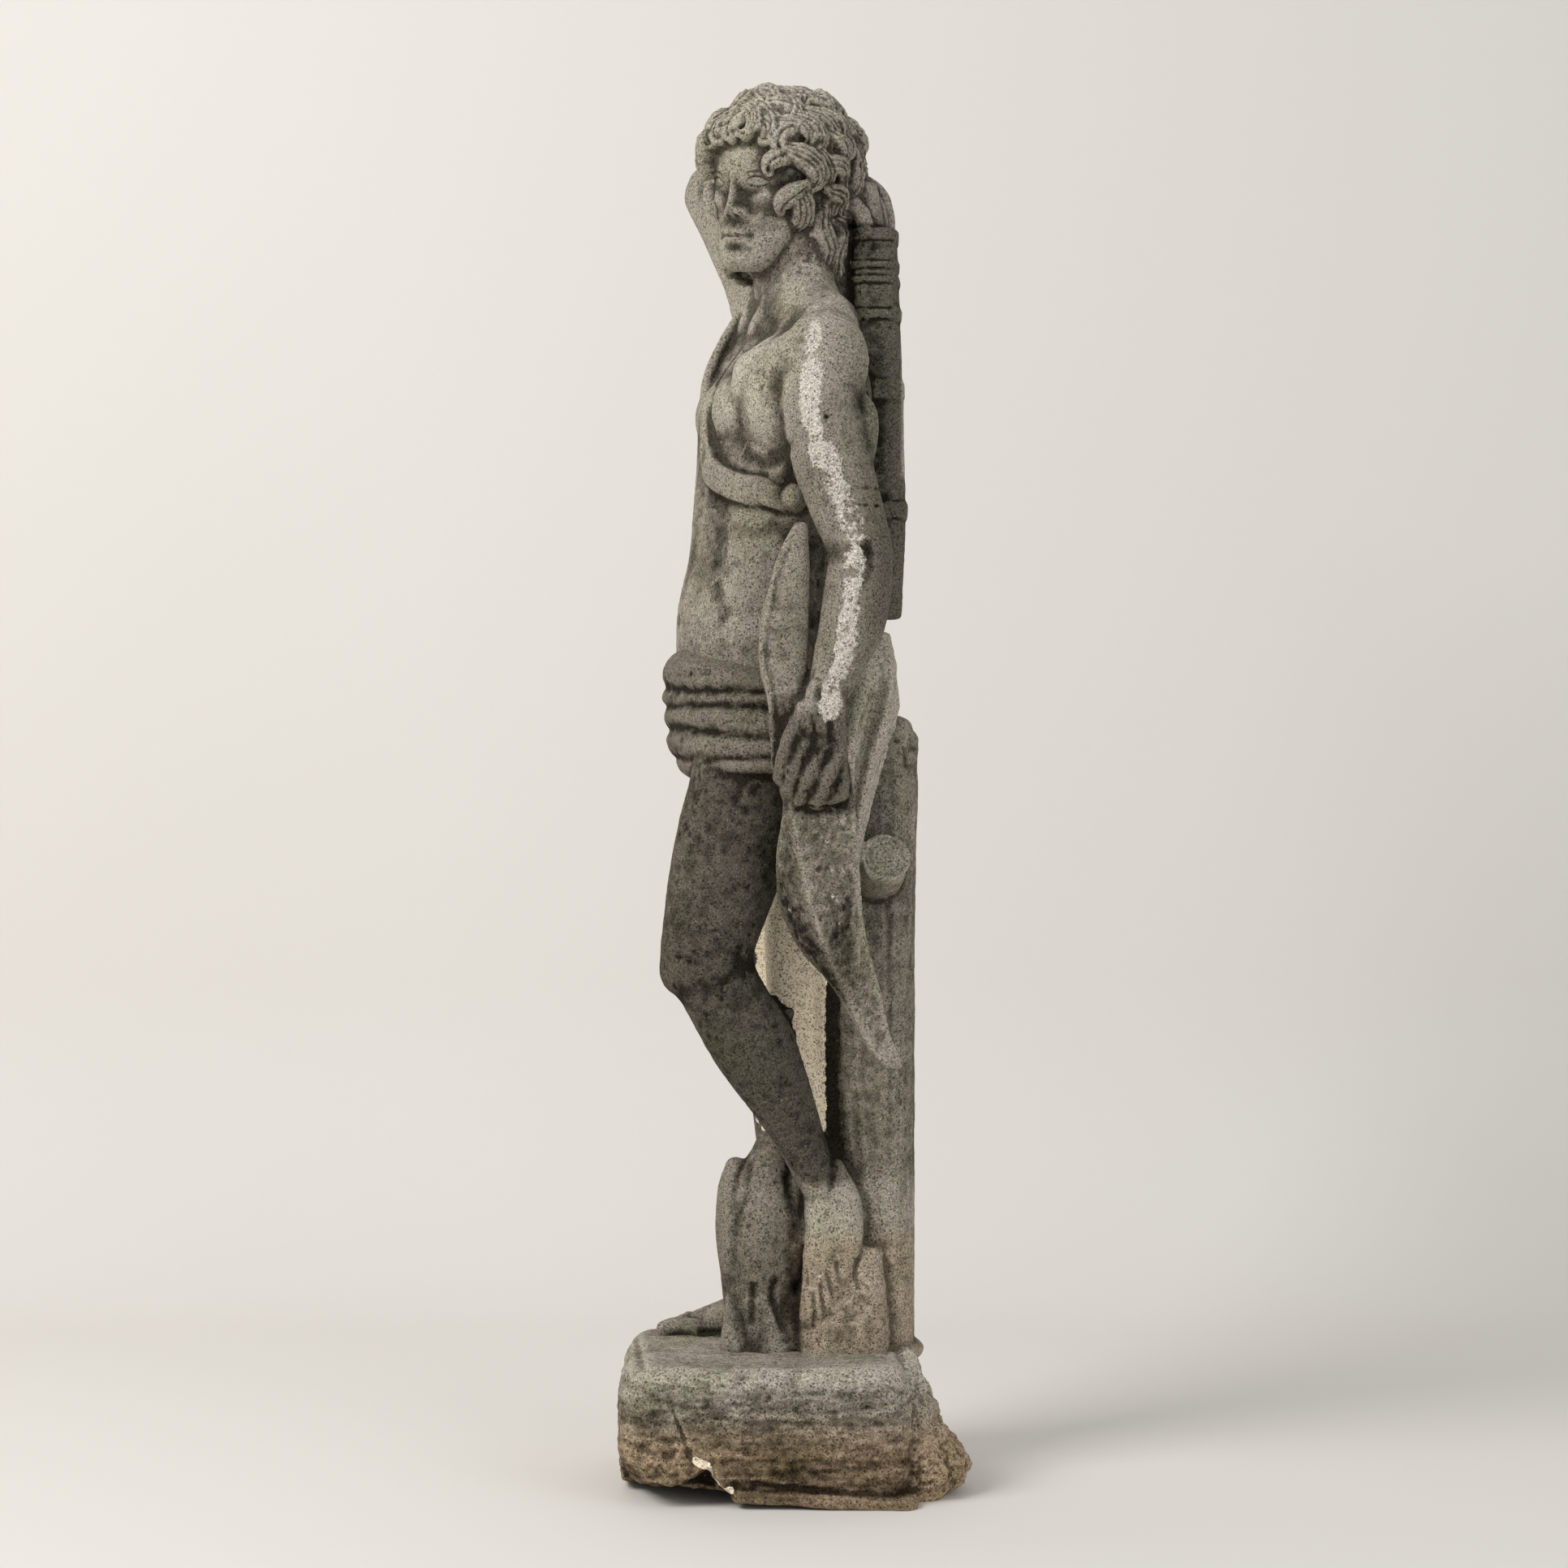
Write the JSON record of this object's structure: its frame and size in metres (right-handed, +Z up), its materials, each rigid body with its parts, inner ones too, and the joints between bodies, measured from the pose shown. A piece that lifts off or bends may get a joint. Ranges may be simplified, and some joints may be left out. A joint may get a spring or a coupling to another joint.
{
  "type": "garden statue",
  "caption": "Weathered cast-stone garden statue of a young archer leaning on a tree trunk, with quiver, bow and bird, cast in one with a rough block plinth.",
  "frame": {"origin": "middle of the plinth's underside", "axes": "+Z up; the figure's front faces -Y and its left side faces +X"},
  "size_m": [0.5024, 0.4053, 1.6642],
  "materials": {
    "stone": "matte"
  },
  "bodies": {
    "root": {"statue": "stone"}
  },
  "joints": []
}
